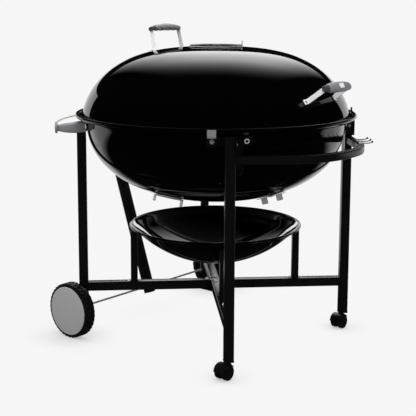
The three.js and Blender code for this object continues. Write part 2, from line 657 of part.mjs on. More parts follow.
// ---- casters ------------------------------------------------------------------------------------
// Each caster leg has a plug with a bore for the stem, a top cap, a hooded swivel body and twin rollers.
for (const name of ['fr', 'br']) {
  const inner34 = (TUBE - 2 * TUBE_WALL) / 2 - GAP;
  const lip = TUBE / 2 + 1;
  const plug = cut(
    join(box(LEG_R - lip, LEG_R + lip, -lip, lip, LEG_FOOT - GAP - 3, LEG_FOOT - GAP),
      box(LEG_R - inner34, LEG_R + inner34, -inner34, inner34, LEG_FOOT - 1, 98)),
    rod(5.8, 40, 120, 12).translate(LEG_R, 0, 0),
  );
  add(`leg_plug_${name}`, plug, BLACK_NYLON, corner[name]);
  const cap = join(box(LEG_R - lip, LEG_R + lip, -lip, lip, LEG_TOP + GAP, LEG_TOP + 3),
    box(LEG_R - inner34, LEG_R + inner34, -inner34, inner34, LEG_TOP - 14, LEG_TOP + 1));
  add(`leg_cap_${name}`, cap, BLACK_NYLON, corner[name]);

  const legX = LEG_R * Math.cos(rad(CORNERS[name]));
  const legY = LEG_R * Math.sin(rad(CORNERS[name]));
  const caster = new THREE.Group();
  caster.position.set(legX, legY, 0);
  grill.add(caster);
  const y = -CASTER_TRAIL;
  const fin = cut(
    join(
      rod(CASTER_R - 3, -6.6, 6.6, 16).rotateY(Math.PI / 2).translate(0, y, CASTER_R),
      box(-6.6, 6.6, y, 8, 27, 45),
      box(-6.6, 6.6, -14, 8, 38, 46),
    ),
    rod(4.4, -20, 20, 10).rotateY(Math.PI / 2).translate(0, y, CASTER_R),
  );
  const arcPoints = (r) => {
    const points = [];
    for (let i = 0; i <= 8; i += 1) {
      const t = rad(35 + (140 * i) / 8);
      points.push([y + r * Math.cos(t), CASTER_R + r * Math.sin(t)]);
    }
    return points;
  };
  const hoodShape = [...arcPoints(28.2), ...arcPoints(26.4).reverse()];
  const hood = plateXZ(hoodShape, -23, 23).rotateZ(Math.PI / 2);
  const web = plateXZ([...arcPoints(27), ...arcPoints(15).reverse()], -6.6, 6.6).rotateZ(Math.PI / 2);
  const stem = rod(5.5, 44, 92, 12);
  const collar = rod(6.6, 38, LEG_FOOT - GAP - 3 - GAP, 12);
  add(`caster_body_${name}`, join(fin, hood, web, stem, collar), BLACK_NYLON, caster);

  const facet = CASTER_R / Math.cos(Math.PI / 24);
  const rollers = turn([
    [0, -22.5], [facet - 3, -22.5], [facet, -20], [facet, -7.2], [4, -7.2], [4, 7.2],
    [facet, 7.2], [facet, 20], [facet - 3, 22.5], [0, 22.5],
  ], 24).rotateZ(Math.PI / 24).rotateY(Math.PI / 2).translate(0, y, CASTER_R);
  add(`caster_rollers_${name}`, rollers, BLACK_NYLON, caster);
}

export default grill;
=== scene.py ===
"""Kettle charcoal grill: the finished look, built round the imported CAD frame.

Shapes are written in millimetres about the kettle's axis, +Z up, and placed into the frame in metres.
"""

import json
import math

import bmesh
import bpy
from mathutils import Matrix, Vector


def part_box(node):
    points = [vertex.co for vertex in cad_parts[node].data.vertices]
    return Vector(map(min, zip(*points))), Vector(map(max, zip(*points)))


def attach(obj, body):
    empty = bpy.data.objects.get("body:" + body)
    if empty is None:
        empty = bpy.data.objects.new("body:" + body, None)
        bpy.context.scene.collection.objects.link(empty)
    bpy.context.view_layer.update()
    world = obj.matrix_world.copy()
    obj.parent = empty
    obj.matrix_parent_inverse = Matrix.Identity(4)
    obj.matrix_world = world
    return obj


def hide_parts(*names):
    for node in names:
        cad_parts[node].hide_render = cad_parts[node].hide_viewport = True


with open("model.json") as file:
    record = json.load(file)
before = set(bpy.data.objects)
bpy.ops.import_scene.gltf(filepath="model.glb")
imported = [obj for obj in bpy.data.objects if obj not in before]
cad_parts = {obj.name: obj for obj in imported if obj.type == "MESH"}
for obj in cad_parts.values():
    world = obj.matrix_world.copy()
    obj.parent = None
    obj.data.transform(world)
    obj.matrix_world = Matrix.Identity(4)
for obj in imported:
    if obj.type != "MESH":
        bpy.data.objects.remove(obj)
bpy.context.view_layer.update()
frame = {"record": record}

MM = 0.001
BODY_OF = {node: body for body, nodes in frame["record"]["behaviour"]["bodies"].items() for node in nodes}
SLOT_OF = {part["node"]: part["material_slot"] for part in frame["record"]["subparts"]}
BOWL_LOW, BOWL_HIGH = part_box("bowl")
AXIS = Vector(((BOWL_LOW.x + BOWL_HIGH.x) / 2, 0, 0))  # the kettle's axis in the frame

# ---- driving dimensions, mm ---------------------------------------------------------------------
GAP = 0.3  # air between two pieces that touch
RIM_R = round((BOWL_HIGH.x - BOWL_LOW.x) / 2 / MM)
BEAD_R = 6.5
BEAD_Z = 802.5
BOWL_R = 460
BOWL_TOP = 780
BOWL_DEPTH = 280
SHELL = 2.4
LID_R = 475
LID_BASE = 785
LID_RISE = 255
LID_SWEEP = 87.07  # degrees of the dome's curve, from the axis to the lip

LEG_R = 478.3  # radius of the leg centres
TUBE = 32.5  # square tube
WALL = 2
LEG_FACE = LEG_R - TUBE / 2
BEAM_Z = 175
AXLE_X = -338
AXLE_Z = 99
WHEEL_Y = 418.5
WIRE_ARC_R = 568
WIRE_Z = 770
WIRE_R = 3
RAIL_Z = 708
RAIL_W = 25
RAIL_H = 26
PAN_R = 295
PAN_TOP = 400
PAN_DEPTH = 140
PAN_RIM_R = 311
POST_R = 295.5
GRATE_Z = 772
GRATE_R = 452
COAL_Z = 592
COAL_R = 338
VENT_R = 250
VENT_Z = 534.8
VENT_TILT = 19  # degrees from straight down
CASTER_R = 25
CASTER_TRAIL = 22
CORNERS = {"fl": -135, "fr": -45, "br": 45, "bl": 135}
VENTS = {"right": 0, "back": 90, "left": 180, "front": 270}
TAB_AT = {"right": 20, "back": 90, "left": 90, "front": 30}  # how each damper stands, degrees

rad = math.radians


# ---- shapes: a shape is (points, faces) ---------------------------------------------------------
def merge(*shapes):
    points, faces = [], []
    for shape_points, shape_faces in shapes:
        base = len(points)
        points.extend(shape_points)
        faces.extend([[i + base for i in face] for face in shape_faces])
    return points, faces


def placed(shape, *matrices):
    """The shape moved by the product of the matrices."""
    product = Matrix.Identity(4)
    for m in matrices:
        product = product @ m
    return [product @ p for p in shape[0]], shape[1]


def shift(x=0, y=0, z=0):
    return Matrix.Translation((x, y, z))


def turn(degrees, axis="Z"):
    return Matrix.Rotation(rad(degrees), 4, axis)


def loft(rings, closed=False, caps=True):
    """Skin over rings of equal length, with flat ends."""
    count = len(rings[0])
    points = [p for ring in rings for p in ring]
    faces = []
    spans = len(rings) if closed else len(rings) - 1
    for i in range(spans):
        a, b = i * count, ((i + 1) % len(rings)) * count
        for k in range(count):
            n = (k + 1) % count
            faces.append([a + k, a + n, b + n, b + k])
    if caps and not closed:
        faces.append(list(range(count))[::-1])
        faces.append([(len(rings) - 1) * count + k for k in range(count)])
    return points, faces


def lathe(profile, segments=96):
    """Solid of revolution about Z. A profile that doesn't start and end on the axis closes on itself."""
    points, faces, index = [], [], []
    for r, z in profile:
        if r < 1e-6:
            index.append([len(points)] * segments)
            points.append(Vector((0, 0, z)))
            continue
        index.append(list(range(len(points), len(points) + segments)))
        for k in range(segments):
            t = 2 * math.pi * k / segments
            points.append(Vector((r * math.cos(t), r * math.sin(t), z)))
    on_axis = profile[0][0] < 1e-6 and profile[-1][0] < 1e-6
    pairs = list(zip(index, index[1:])) + ([] if on_axis else [(index[-1], index[0])])
    for low, high in pairs:
        for k in range(segments):
            n = (k + 1) % segments
            face = list(dict.fromkeys([low[k], low[n], high[n], high[k]]))
            if len(face) > 2:
                faces.append(face)
    return points, faces


def prism(outline, z0, z1):
    return loft([[Vector((x, y, z)) for x, y in outline] for z in (z0, z1)])


def hollow_prism(outer, inner, z0, z1):
    """A tube whose outer and inner outlines have the same number of points."""
    rings = [(outer, z0), (outer, z1), (inner, z1), (inner, z0)]
    return loft([[Vector((x, y, z)) for x, y in outline] for outline, z in rings], closed=True)


def block(x0, x1, y0, y1, z0, z1):
    return prism([(x0, y0), (x1, y0), (x1, y1), (x0, y1)], z0, z1)


def rod(radius, z0, z1, segments=24, edge=0.0):
    """Round rod on Z, its ends eased by edge."""
    if not edge:
        return lathe([(0, z0), (radius, z0), (radius, z1), (0, z1)], segments)
    profile = [(0, z0), (radius - edge, z0), (radius, z0 + edge)]
    profile += [(radius, z1 - edge), (radius - edge, z1), (0, z1)]
    return lathe(profile, segments)


def dome_nut(radius, height, sides=6):
    """A cap nut on a washer, standing on z = 0."""
    hexagon = [(radius * math.cos(rad(60 * k)), radius * math.sin(rad(60 * k))) for k in range(sides)]
    crown = [(0, height)]
    for a in range(15, 91, 15):
        crown.append((0.82 * radius * math.sin(rad(a)), height * (0.55 + 0.45 * math.cos(rad(a)))))
    crown += [(0.82 * radius, 0.8), (0, 0.8)]
    washer = rod(radius * 1.25, 0, 1.2, 20, 0.3)
    return merge(washer, prism(hexagon, 1, height * 0.55), lathe(crown, 20))


def circle(radius, count=12):
    angles = [2 * math.pi * k / count for k in range(count)]
    return [(radius * math.cos(t), radius * math.sin(t)) for t in angles]


def rounded(width, height, corner, steps=4):
    """Rounded rectangle outline, counter-clockwise."""
    outline = []
    for quadrant, (sx, sy) in enumerate(((1, 1), (-1, 1), (-1, -1), (1, -1))):
        for k in range(steps + 1):
            t = rad(90 * quadrant + 90 * k / steps)
            x = sx * (width / 2 - corner) + corner * math.cos(t)
            y = sy * (height / 2 - corner) + corner * math.sin(t)
            outline.append((x, y))
    return outline


def square_tube(size, z0, z1, wall=WALL, corner=3.4):
    inner = size - 2 * wall
    return hollow_prism(rounded(size, size, corner), rounded(inner, inner, max(corner - wall, 0.6)), z0, z1)


def sweep(path, section, across=None, closed=False):
    """Carries a section along a path. across is the direction kept across the path, or the level sideways."""
    rings = []
    last = len(path) - 1
    for i, p in enumerate(path):
        before = path[i - 1] if closed or i else path[0]
        after = path[(i + 1) % len(path)] if closed or i < last else path[last]
        tangent = (after - before).normalized()
        if across is not None:
            side = (across - tangent * across.dot(tangent)).normalized()
        else:
            up = Vector((0, 0, 1)) if abs(tangent.z) < 0.95 else Vector((1, 0, 0))
            side = tangent.cross(up).normalized()
        rise = side.cross(tangent)
        rings.append([p + side * u + rise * v for u, v in section])
    return loft(rings, closed=closed)


def wire(path, radius, count=12, closed=False):
    return sweep(path, circle(radius, count), closed=closed)


def roll(cx, cz, r, start, end, steps):
    angles = [rad(start + (end - start) * i / steps) for i in range(steps + 1)]
    return [(cx + r * math.cos(t), cz + r * math.sin(t)) for t in angles]


def quarter(radius, rise, p, q, z0, a1, steps):
    """Quarter of a superellipse from the axis outwards, up to a1 degrees."""
    points = [(0, z0 + rise)]
    for i in range(1, steps + 1):
        a = rad(a1 * i / steps)
        points.append((radius * math.sin(a) ** (2 / p), z0 + rise * max(math.cos(a), 0) ** (2 / q)))
    return points


def catmull(knots, steps=8):
    """Centripetal Catmull-Rom curve through the inner knots; the first and last only set its ends."""
    path = []
    for p0, p1, p2, p3 in zip(knots, knots[1:], knots[2:], knots[3:]):
        t1 = (p1 - p0).length ** 0.5
        t2 = t1 + (p2 - p1).length ** 0.5
        t3 = t2 + (p3 - p2).length ** 0.5
        for k in range(steps):
            t = t1 + (t2 - t1) * k / steps
            a1 = p0 * ((t1 - t) / t1) + p1 * (t / t1)
            a2 = p1 * ((t2 - t) / (t2 - t1)) + p2 * ((t - t1) / (t2 - t1))
            a3 = p2 * ((t3 - t) / (t3 - t2)) + p3 * ((t - t2) / (t3 - t2))
            b1 = a1 * ((t2 - t) / t2) + a2 * (t / t2)
            b2 = a2 * ((t3 - t) / (t3 - t1)) + a3 * ((t - t1) / (t3 - t1))
            path.append(b1 * ((t2 - t) / (t2 - t1)) + b2 * ((t - t1) / (t2 - t1)))
    path.append(knots[-2].copy())
    return path


def basis(origin, x, y, z):
    m = Matrix((x, y, z)).transposed().to_4x4()
    m.translation = origin
    return m


# ---- objects ------------------------------------------------------------------------------------
def mesh_object(name, shape):
    """A Blender object for a shape in millimetres about the kettle's axis."""
    mesh = bpy.data.meshes.new(name)
    mesh.from_pydata([p * MM + AXIS for p in shape[0]], [], shape[1])
    work = bmesh.new()
    work.from_mesh(mesh)
    bmesh.ops.recalc_face_normals(work, faces=work.faces)
    work.to_mesh(mesh)
    work.free()
    obj = bpy.data.objects.new(name, mesh)
    bpy.context.scene.collection.objects.link(obj)
    return obj


def carve(obj, shape):
    """Cuts a shape out of an object."""
    tool = mesh_object("cutter", shape)
    modifier = obj.modifiers.new("cut", "BOOLEAN")
    modifier.operation = "DIFFERENCE"
    modifier.solver = "EXACT"
    modifier.object = tool
    graph = bpy.context.evaluated_depsgraph_get()
    mesh = bpy.data.meshes.new_from_object(obj.evaluated_get(graph))
    obj.modifiers.clear()
    obj.data = mesh
    bpy.data.objects.remove(tool)


def piece(name, shape, slot=None, stands_for=None, body=None, bevel=0.0, crease=32, holes=None, finish=None):
    """One visible piece. It stands for a CAD node, or is trim that rides on a body."""
    obj = mesh_object(name, shape)
    if holes:
        carve(obj, holes)
    obj.data.shade_smooth()
    obj.data.set_sharp_from_angle(angle=rad(crease))
    if bevel:
        modifier = obj.modifiers.new("edges", "BEVEL")
        modifier.width = bevel * MM
        modifier.segments = 2
        modifier.limit_method = "ANGLE"
        modifier.angle_limit = rad(38)
    slot = slot or SLOT_OF[stands_for]
    obj.data.materials.clear()
    obj.data.materials.append(MATERIALS[finish or slot])
    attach(obj, body or BODY_OF[stands_for])
    if stands_for:
        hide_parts(stands_for)
    return obj


def look(node, shape, **settings):
    """The piece that stands for a CAD node."""
    return piece(f"{node}_look", shape, stands_for=node, **settings)


# ---- materials ----------------------------------------------------------------------------------
def tint(color, factor):
    return (*[min(1, c * factor) for c in color], 1)


def surface(
    name, color, rough, metal=0.0, grain=60.0, stretch=(1, 1, 1), spread=0.12, bump=0.02, spots=0.0
):
    """Principled material whose colour, roughness and relief vary with fine noise fixed to the piece."""
    material = bpy.data.materials.new(name)
    material.use_nodes = True
    tree = material.node_tree
    shader = tree.nodes["Principled BSDF"]
    shader.inputs["Metallic"].default_value = metal
    shader.inputs["Coat Roughness"].default_value = 0.04
    coords = tree.nodes.new("ShaderNodeTexCoord")
    mapping = tree.nodes.new("ShaderNodeMapping")
    mapping.inputs["Scale"].default_value = stretch
    tree.links.new(coords.outputs["Object"], mapping.inputs["Vector"])

    def noise(scale, detail):
        node = tree.nodes.new("ShaderNodeTexNoise")
        node.inputs["Scale"].default_value = scale
        node.inputs["Detail"].default_value = detail
        tree.links.new(mapping.outputs["Vector"], node.inputs["Vector"])
        return node.outputs["Fac"]

    broad = noise(grain / 12, 3)
    fine = noise(grain * 14, 4)
    ramp = tree.nodes.new("ShaderNodeValToRGB")
    ramp.color_ramp.elements[0].position = 0.3
    ramp.color_ramp.elements[0].color = tint(color, 1 - spread)
    ramp.color_ramp.elements[1].position = 0.7
    ramp.color_ramp.elements[1].color = tint(color, 1 + spread)
    tree.links.new(broad, ramp.inputs["Fac"])
    tree.links.new(ramp.outputs["Color"], shader.inputs["Base Color"])
    wear = tree.nodes.new("ShaderNodeMapRange")
    wear.inputs["To Min"].default_value = rough * (1 - spread)
    wear.inputs["To Max"].default_value = rough * (1 + spread)
    tree.links.new(fine if spots else broad, wear.inputs["Value"])
    tree.links.new(wear.outputs["Result"], shader.inputs["Roughness"])
    relief = tree.nodes.new("ShaderNodeBump")
    relief.inputs["Strength"].default_value = bump
    relief.inputs["Distance"].default_value = 0.001
    tree.links.new(fine, relief.inputs["Height"])
    tree.links.new(relief.outputs["Normal"], shader.inputs["Normal"])
    return material


MATERIALS = {
    "black_enamel": surface(
        "black_enamel", (0.0004, 0.0004, 0.00045), 0.045, grain=8, spread=0.2, bump=0.003,
    ),
    "satin_black": surface(
        "satin_black", (0.0034, 0.0034, 0.0037), 0.27, grain=90, spread=0.15, bump=0.03, spots=1,
    ),
    "stainless": surface("stainless", (0.92, 0.92, 0.93), 0.42, 0.2, 30, (1, 1, 12), 0.05, 0.05, spots=1),
    "plated_steel": surface("plated_steel", (0.50, 0.50, 0.52), 0.36, 0.6, 40, spread=0.1, bump=0.02),
    "aluminium": surface("aluminium", (0.62, 0.62, 0.63), 0.45, 0.35, 50, spread=0.06, bump=0.03, spots=1),
    # Painted reflection: the lid damper is aluminium, but this copy of it is darkened to near black to stand
    # in for the dark surroundings it mirrors.
    "painted_dark_reflection": surface(
        "aluminium_painted_dark_reflection", (0.03, 0.03, 0.032), 0.14, 1, 50, spread=0.06, bump=0.01, spots=1,
    ),
    "grey_nylon": surface("grey_nylon", (0.20, 0.20, 0.215), 0.42, 0, 120, spread=0.08, bump=0.10, spots=1),
    "dark_nylon": surface("dark_nylon", (0.05, 0.05, 0.054), 0.42, 0, 120, spread=0.08, bump=0.10, spots=1),
    "black_nylon": surface(
        "black_nylon", (0.0035, 0.0035, 0.004), 0.38, 0, 100, spread=0.12, bump=0.06, spots=1,
    ),
    "wheel_black": surface(
        "wheel_black", (0.004, 0.004, 0.0045), 0.5, 0, 90, spread=0.15, bump=0.12, spots=1,
    ),
    "hubcap_grey": surface(
        "hubcap_grey", (0.42, 0.42, 0.425), 0.36, 0.2, 30, spread=0.03, bump=0.01, spots=1,
    ),
}


# ---- kettle -------------------------------------------------------------------------------------
def vent_place(angle):
    """The frame of a bowl vent: local Z points out of the bowl."""
    return turn(angle) @ shift(VENT_R, 0, VENT_Z) @ turn(180 - VENT_TILT, "Y")


def ports(radius, reach, count, start, z0, z1):
    turns = [turn(start + 360 / count * k) for k in range(count)]
    return merge(*[placed(rod(radius, z0, z1, 28), t, shift(reach)) for t in turns])


def build_bowl():
    outer = quarter(BOWL_R, -BOWL_DEPTH, 2.3, 2.13, BOWL_TOP, 90, 56)
    inner = quarter(BOWL_R - SHELL, SHELL - BOWL_DEPTH, 2.3, 2.13, BOWL_TOP, 90, 56)
    neck = roll(BOWL_R + 7, 781.6, 7, 180, 95, 6) + [(484.5, 789.3)]
    bead = roll(RIM_R - BEAD_R, BEAD_Z, BEAD_R, -100, 180, 22)
    mouth = [(485.6, 793), (484, 791.8), (BOWL_R + 7, 791.2)] + roll(BOWL_R + 7, 781.6, 9.4, 100, 178, 5)
    shape = lathe(outer[:-1] + neck + bead + mouth + inner[::-1][1:], 192)
    holes = merge(*[placed(ports(12, 28, 3, 30, -30, 20), vent_place(a)) for a in VENTS.values()])
    look("bowl", shape, holes=holes, crease=40)


def build_bowl_damper(name, angle):
    profile = [(0, 0.6), (51, 0.6), (52, 1.4), (51.5, 2.8), (40, 2.8)]
    profile += [(39, 3.4), (16, 3.4), (15, 2.8), (0, 2.8)]
    disc = lathe(profile, 72)
    tab = []
    for s in (TAB_AT[name], TAB_AT[name] + 180):
        outline = rounded(25, 23, 5, 5)
        plate = placed(prism(outline, -1.2, 1.2), turn(90, "Y"), turn(90))
        tab.append(placed(plate, turn(s), shift(49.2, 0, 12.5)))
    rivet = lathe([(0, 5.5), (4, 5.2), (6.4, 4.1), (7, 2.9), (7, 1), (0, 1)], 24)
    node = f"bowl_damper_{name}"
    holes = placed(ports(12, 28, 3, 30, -5, 9), vent_place(angle))
    obj = look(node, placed(disc, vent_place(angle)), holes=holes)
    for i, shape in enumerate((*tab, rivet)):
        trim = placed(shape, vent_place(angle))
        piece(f"{node}_trim_{i}", trim, slot="aluminium", body=BODY_OF[node], bevel=0.4)
    return obj


def lid_curve(offset, steps):
    return quarter(LID_R + offset, LID_RISE + offset, 2.87, 1.82, LID_BASE, LID_SWEEP, steps)


def lid_at(x, y):
    """Point and outward normal of the dome over a plan point."""

    def height(r):
        c = math.acos(min(1, (r / LID_R) ** (2.87 / 2)))
        return LID_BASE + LID_RISE * math.sin(c) ** (2 / 1.82)

    r = math.hypot(x, y)
    slope = height(r + 0.5) - height(r - 0.5)
    normal = Vector((-slope * x / r, -slope * y / r, 1)).normalized()
    return Vector((x, y, height(r))), normal


def build_lid():
    lip = [(475, 797.4), (478, 797)] + roll(481.3, 795, 2.7, 90, -90, 12) + [(476, 793), (472.6, 795.5)]
    shape = lathe(lid_curve(0, 64) + lip + lid_curve(-SHELL, 56)[::-1], 192)
    look("lid", shape, holes=ports(18, 56, 4, 45, 1000, 1060), crease=40)


def build_lid_damper():
    profile = [(0, 1040.6), (92.6, 1040.6)] + roll(92.2, 1044.7, 1.3, -70, 180, 8)
    profile += [(88.5, 1043.6), (86, 1043), (30, 1043.2), (14, 1043.6), (12, 1045.6), (8, 1046.8), (0, 1047)]
    # Painted reflection: the disc takes the near-black aluminium that stands in for its dark reflection.
    look("lid_damper", lathe(profile, 96), holes=ports(18, 56, 4, 45, 1000, 1060), finish="painted_dark_reflection")
    # Painted highlight: a band of light aluminium round the lower side of the darkened disc's rim.
    edge = lathe([(93.6, 1040.8), (94.4, 1040.8), (94.4, 1043.4), (93.6, 1043.4)], 96)
    piece("lid_damper_painted_highlight_band", edge, slot="aluminium", body=BODY_OF["lid_damper"])
    outline = rounded(18, 21, 5, 5)
    tab = placed(prism(outline, -1.5, 1.5), turn(90, "Y"), turn(90))
    tab = placed(tab, turn(41), shift(91.6, 0, 1052.5))
    piece("lid_damper_tab", tab, slot="aluminium", body=BODY_OF["lid_damper"], bevel=0.5)


# ---- lid handles --------------------------------------------------------------------------------
STRAP_TOP = 71  # half the distance between the straps at the grip
STRAP_FOOT = 76
STRAP_T = 2.6
STRAP_W = 17
GRIP_HALF = 78


def strap_shape(foot_x, reach, s, place, across):
    """A flat bar bent from a foot on the dome into a leaning upright that runs into the grip."""
    side = math.copysign(1, foot_x)
    seat, seat_normal = lid_at(foot_x + side * 0.5, s * (STRAP_FOOT + 9))
    seat += seat_normal * (STRAP_T / 2 + GAP)
    out = place.to_3x3() @ Vector((0, s, 0))
    slope = seat_normal.cross(across)
    slope *= 1 if slope.dot(out) > 0 else -1
    top = place @ Vector((0, s * STRAP_TOP, reach))
    knee = seat - slope * 9
    up = (top - knee).normalized()
    path = [seat + slope * 9, seat + slope * 3]
    bend = 5.0
    for k in range(7):
        t = k / 6
        start, end = knee + slope * bend, knee + up * bend
        path.append(start.lerp(knee, t).lerp(knee.lerp(end, t), t))
    path += [knee.lerp(top, 0.5), top]
    rings = []
    for i, p in enumerate(path):
        tangent = (path[min(i + 1, len(path) - 1)] - path[max(i - 1, 0)]).normalized()
        thick = tangent.cross(across).normalized() * (STRAP_T / 2)
        w = across * (STRAP_W / 2)
        rings.append([p - w - thick, p + w - thick, p + w + thick, p - w + thick])
    return loft(rings), seat, seat_normal


def grip_ring(y, wide, high, middle, scoop):
    """Section of the grip: a rounded slab whose underside is scooped for the fingers."""
    ring = []
    for k in range(32):
        t = 2 * math.pi * k / 32
        cx = math.copysign(abs(math.cos(t)) ** 0.85, math.cos(t))
        cz = math.copysign(abs(math.sin(t)) ** 0.85, math.sin(t))
        ring.append(Vector((wide * cx, y, middle + (high if cz > 0 else high - scoop) * cz)))
    return ring


def build_handle(name, foot_x, reach, lean, spin):
    point, normal = lid_at(foot_x, 0)
    y_axis = Vector((0, 1, 0))
    x_axis = y_axis.cross(normal).normalized()
    place = basis(point, x_axis, y_axis, normal) @ turn(lean, "Y")
    body = BODY_OF["lid"]
    for s, end in ((-1, "front"), (1, "back")):
        shape, seat, seat_normal = strap_shape(foot_x, reach, s, place, x_axis)
        look(f"{name}_strap_{end}", placed(shape, turn(spin)), bevel=0.5)
        seat_y = seat_normal.cross(x_axis).normalized()
        on_seat = basis(seat + seat_normal * 1.4, x_axis, seat_y, seat_normal)
        nut = placed(dome_nut(4.6, 3.2), turn(spin), on_seat)
        piece(f"{name}_nut_{end}", nut, slot="plated_steel", body=body)
        pad = placed(prism(rounded(20, 24, 3, 3), -3.2, -1.5), turn(spin), on_seat)
        piece(f"{name}_pad_{end}", pad, slot="black_nylon", body=body)
    rings = []
    steps = 64
    start = 20 - GRIP_HALF
    for i in range(steps + 1):
        y = start + (GRIP_HALF - start) * i / steps
        u = abs(y) / GRIP_HALF
        nose = min((y - start) / 5, (GRIP_HALF - y) / 13, 1)
        ease = 0.62 + 0.38 * math.sqrt(max(0, 1 - (1 - nose) ** 2))
        wide = (11.0 + 6.6 * (1 - u ** 2.4)) * ease
        high = (8.2 + 4.3 * (1 - u ** 2.4)) * ease
        scoop = 1.1 * (1 - math.cos(6.5 * math.pi * (u + 0.04))) * (1 if u < 0.86 else 0)
        rings.append(grip_ring(y, wide, high, reach + 5.0 * (1 - u * u), scoop))
    look(f"{name}_grip", placed(loft(rings), turn(spin), place), crease=50)
    rings = []
    for y, wide, high in ((0, 9.4, 7.2), (1, 10.2, 8.0), (16, 11.6, 8.8), (20, 11.6, 8.8), (24, 10, 7)):
        u = (GRIP_HALF - y) / GRIP_HALF
        rings.append(grip_ring(y - GRIP_HALF, wide, high, reach + 5.0 * (1 - u * u) - 0.6, 0))
    socket = placed(loft(rings), turn(spin), place)
    piece(f"{name}_socket", socket, slot="grey_nylon", body=body, finish="dark_nylon")
    badge = placed(prism(rounded(16, 26, 2.4, 4), 0, 0.9), turn(spin), place, shift(0, 3, reach + 17.2))
    piece(f"{name}_badge", badge, slot="hubcap_grey", body=body, bevel=0.3, finish="stainless")


# ---- trolley ------------------------------------------------------------------------------------
def corner(name):
    return turn(CORNERS[name])


def build_legs():
    for name in CORNERS:
        wheeled = name.endswith("l")
        low, high = (83, 772) if wheeled else (57, 780)
        look(f"leg_{name}", placed(square_tube(TUBE, low, high), corner(name), shift(LEG_R)))


def build_beams():
    along = shift(0, 0, BEAM_Z) @ turn(90, "Y")
    full = square_tube(TUBE, -LEG_FACE + GAP, LEG_FACE - GAP)
    half = square_tube(TUBE, TUBE / 2 + GAP, LEG_FACE - GAP)
    look("beam_cross", placed(full, corner("br"), along))
    look("beam_front", placed(half, corner("fr"), along))
    look("beam_back", placed(half, corner("bl"), along))
    under = BEAM_Z - TUBE / 2 - GAP
    look("gusset_plate", prism(rounded(80, 80, 4, 4), under - 3, under), bevel=0.4)
    for name in ("fl", "fr", "br", "bl"):
        nut = placed(dome_nut(5.2, 7), corner(name), shift(30, 0, BEAM_Z + TUBE / 2))
        piece(f"crossing_nut_{name}", nut, slot="stainless", body=TROLLEY)


def build_prop():
    foot = Vector((AXLE_X, 0, AXLE_Z))
    top = Vector((-WIRE_ARC_R, 0, WIRE_Z))
    lean = math.degrees(math.atan2(top.x - foot.x, top.z - foot.z))
    points, faces = placed(square_tube(TUBE, -25, (top - foot).length), shift(*foot), turn(lean, "Y"))
    axis = (top - foot).normalized()
    crown = WIRE_Z + 8
    outside = -WIRE_ARC_R - 6.5
    for p in points:
        if p.z > WIRE_Z - 40:
            slide = (crown - p.z) / axis.z
            if (p + axis * slide).x < outside:
                slide = (outside - p.x) / axis.x
            p += axis * slide
    look("prop_tube", (points, faces))


def build_lid_holder():
    ends = 135.9
    count = 72
    arc = []
    for i in range(count + 1):
        t = rad(ends + (360 - 2 * ends) * i / count)
        arc.append(Vector((WIRE_ARC_R * math.cos(t), WIRE_ARC_R * math.sin(t), WIRE_Z)))
    look("lid_holder_wire", wire(arc, WIRE_R, 16))
    profile = (  # radial position, half width, bottom, top of the moulded arm
        (LEG_FACE, 20.2, 739.0, 777.0), (478, 20.5, 737.6, 777.0), (488, 20.5, 736.6, 776.4),
        (496, 20.4, 736.2, 774.6), (506, 20.0, 736.2, 772.6), (520, 18.6, 736.8, 770.8),
        (534, 16.4, 738.0, 769.2), (545, 13.6, 739.6, 767.6),
        (555, 11.6, 741.8, 765.6), (563, 11.0, 743.4, 763.6),
    )
    for name in ("fl", "bl"):
        rings = []
        for x, half, low, high in profile:
            outline = rounded(2 * half, high - low, min(half, (high - low) / 2) * 0.45, 5)
            rings.append([Vector((x, u, (low + high) / 2 + v)) for u, v in outline])
        h = TUBE / 2 + GAP
        socket = block(LEG_R - h, LEG_R + h, -h, h, 700, 772 + GAP)
        holes = placed(socket, corner(name))
        look(f"lid_holder_grip_{name}", placed(loft(rings), corner(name)), holes=holes, crease=48)
        disc = [(0, 0), (20.2, 0), (20.8, 0.6)] + roll(18.3, 5.6, 2.5, 0, 90, 4) + [(0, 8.6)]
        flange = placed(lathe(disc, 48), corner(name), shift(562.2, 0, 755.4), turn(90, "Y"))
        piece(f"lid_holder_flange_{name}", flange, slot="grey_nylon", body=TROLLEY, crease=40)


def build_brackets():
    inner, outer = BOWL_R + GAP, LEG_FACE - GAP
    for name in CORNERS:
        rings = []
        for i in range(25):
            t = rad(-9.2 + 18.4 * i / 24)
            tall = 14.0 if abs(math.degrees(t)) < 8.4 else 14.0 - 1.4 * (abs(math.degrees(t)) - 8.4)
            ring = [(inner, 764 - tall), (outer, 764 - tall), (outer, 764 + tall), (inner, 764 + tall)]
            rings.append([Vector((r * math.cos(t), r * math.sin(t), z)) for r, z in ring])
        look(f"bowl_bracket_{name}", placed(loft(rings), corner(name)))
        for k, t in enumerate((-6.8, 6.8)):
            seat = corner(name) @ turn(t) @ shift(outer, 0, 765) @ turn(90, "Y")
            pan_head = [(5, 1), (8.5, 1), (8.4, 2), (7.4, 3.6), (5.6, 4.3), (5, 3.8)]
            # Painted shade: a satin black disc fills the recess of each bolt head, where the recess is only
            # in shade.
            painted_shade_disc = placed(rod(5.2, 0.5, 3.0, 24, 0.4), seat)
            piece(f"bowl_core_{name}_{k}", painted_shade_disc, slot="satin_black", body=TROLLEY)
            piece(f"bowl_bolt_{name}_{k}", placed(lathe(pan_head, 36), seat), slot="stainless", body=TROLLEY)
            pad = placed(prism(rounded(31, 31, 2.5, 3), -0.1, 1.5), seat)
            piece(f"bowl_pad_{name}_{k}", pad, slot="satin_black", body=TROLLEY, bevel=0.3)


